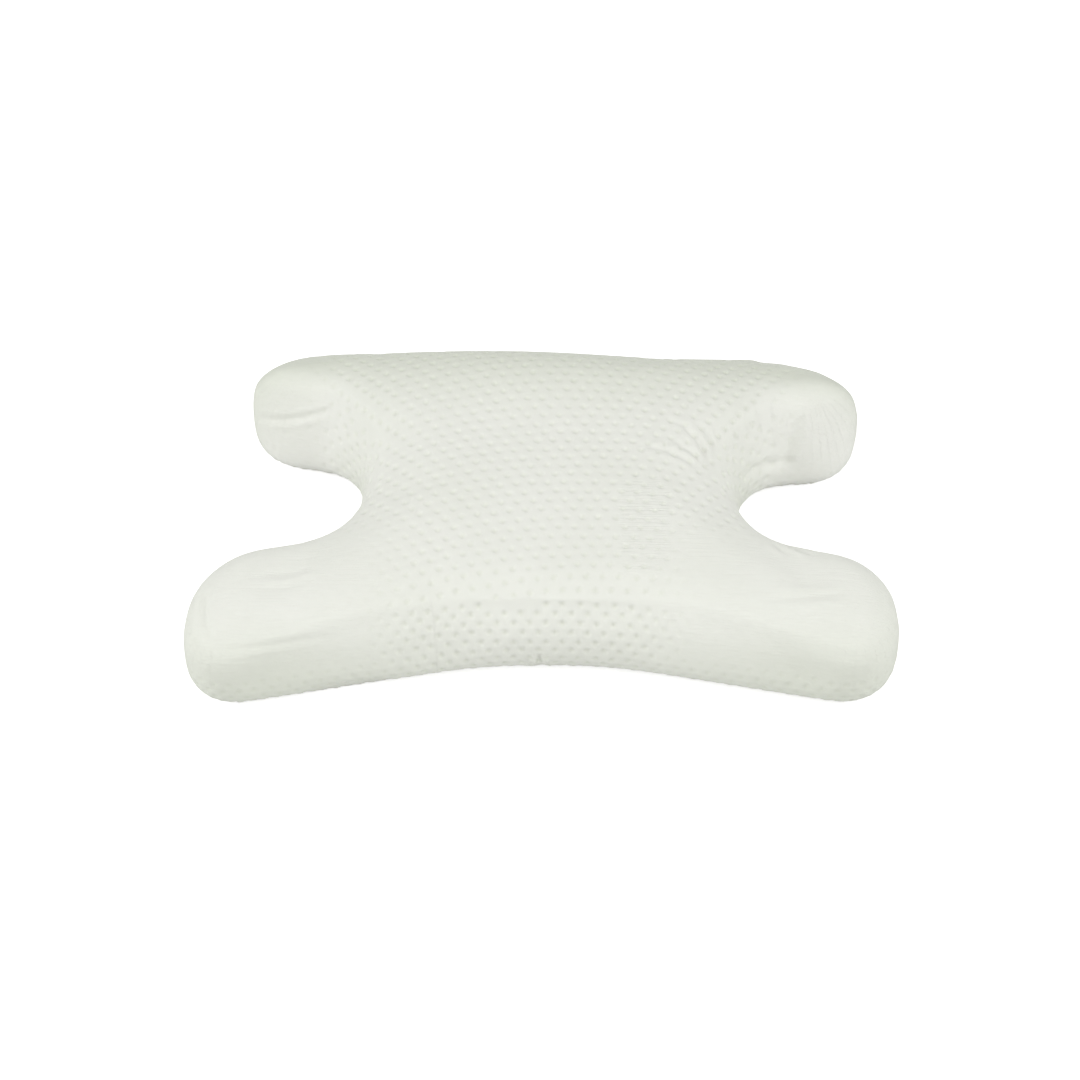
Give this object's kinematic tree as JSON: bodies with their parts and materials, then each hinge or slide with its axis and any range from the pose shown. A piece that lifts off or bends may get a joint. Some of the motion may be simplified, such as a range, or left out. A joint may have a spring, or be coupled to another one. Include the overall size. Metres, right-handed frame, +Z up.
{
  "type": "cervical traction device",
  "caption": "Contoured cervical pillow with four lobes and two side notches: foam core in a dimpled knit cover that closes with a zip in its rear wall.",
  "frame": {"origin": "on the flat base that the pillow rests on, in the middle of its length, between the two side notches", "axes": "+X along the long side, -Y towards the hollow neck edge with the longer lobes, +Y towards the zipped rear edge, +Z up"},
  "size_m": [0.5, 0.3158, 0.089],
  "materials": {
    "foam": "moulded viscoelastic foam with a fine open skin",
    "dimpled_knit": "off-white stretch velour knit with raised dimples in staggered rows",
    "base_knit": "off-white plain knit",
    "zip_tape": "off-white woven tape",
    "zip_teeth": "off-white nylon",
    "zip_metal": "plain stamped aluminium",
    "zip_paint": "off-white enamel on die-cast zinc"
  },
  "bodies": {
    "pillow": {"foam_core": "foam", "cover_top_panel": "dimpled_knit", "cover_base_panel": "base_knit", "zip_tape_upper": "zip_tape", "zip_tape_lower": "zip_tape", "zip_teeth_upper": "zip_teeth", "zip_teeth_lower": "zip_teeth", "zip_top_stops": "zip_metal", "zip_bottom_stop": "zip_metal"},
    "slider": {"zip_slider": "zip_paint"},
    "pull": {"zip_pull_tab": "zip_paint"}
  },
  "joints": [
    {"name": "zip_slide", "type": "slide", "parent": "pillow", "child": "slider", "axis": [-1, 0, 0], "range_m": [0, 0.2409], "deforming": ["zip_teeth_upper", "zip_teeth_lower"]},
    {"name": "pull_flip", "type": "hinge", "parent": "slider", "child": "pull", "pos_m": [0.11995, 0.1609, 0.0405], "axis": [0, 0, -1], "range_deg": [0, 180]}
  ]
}
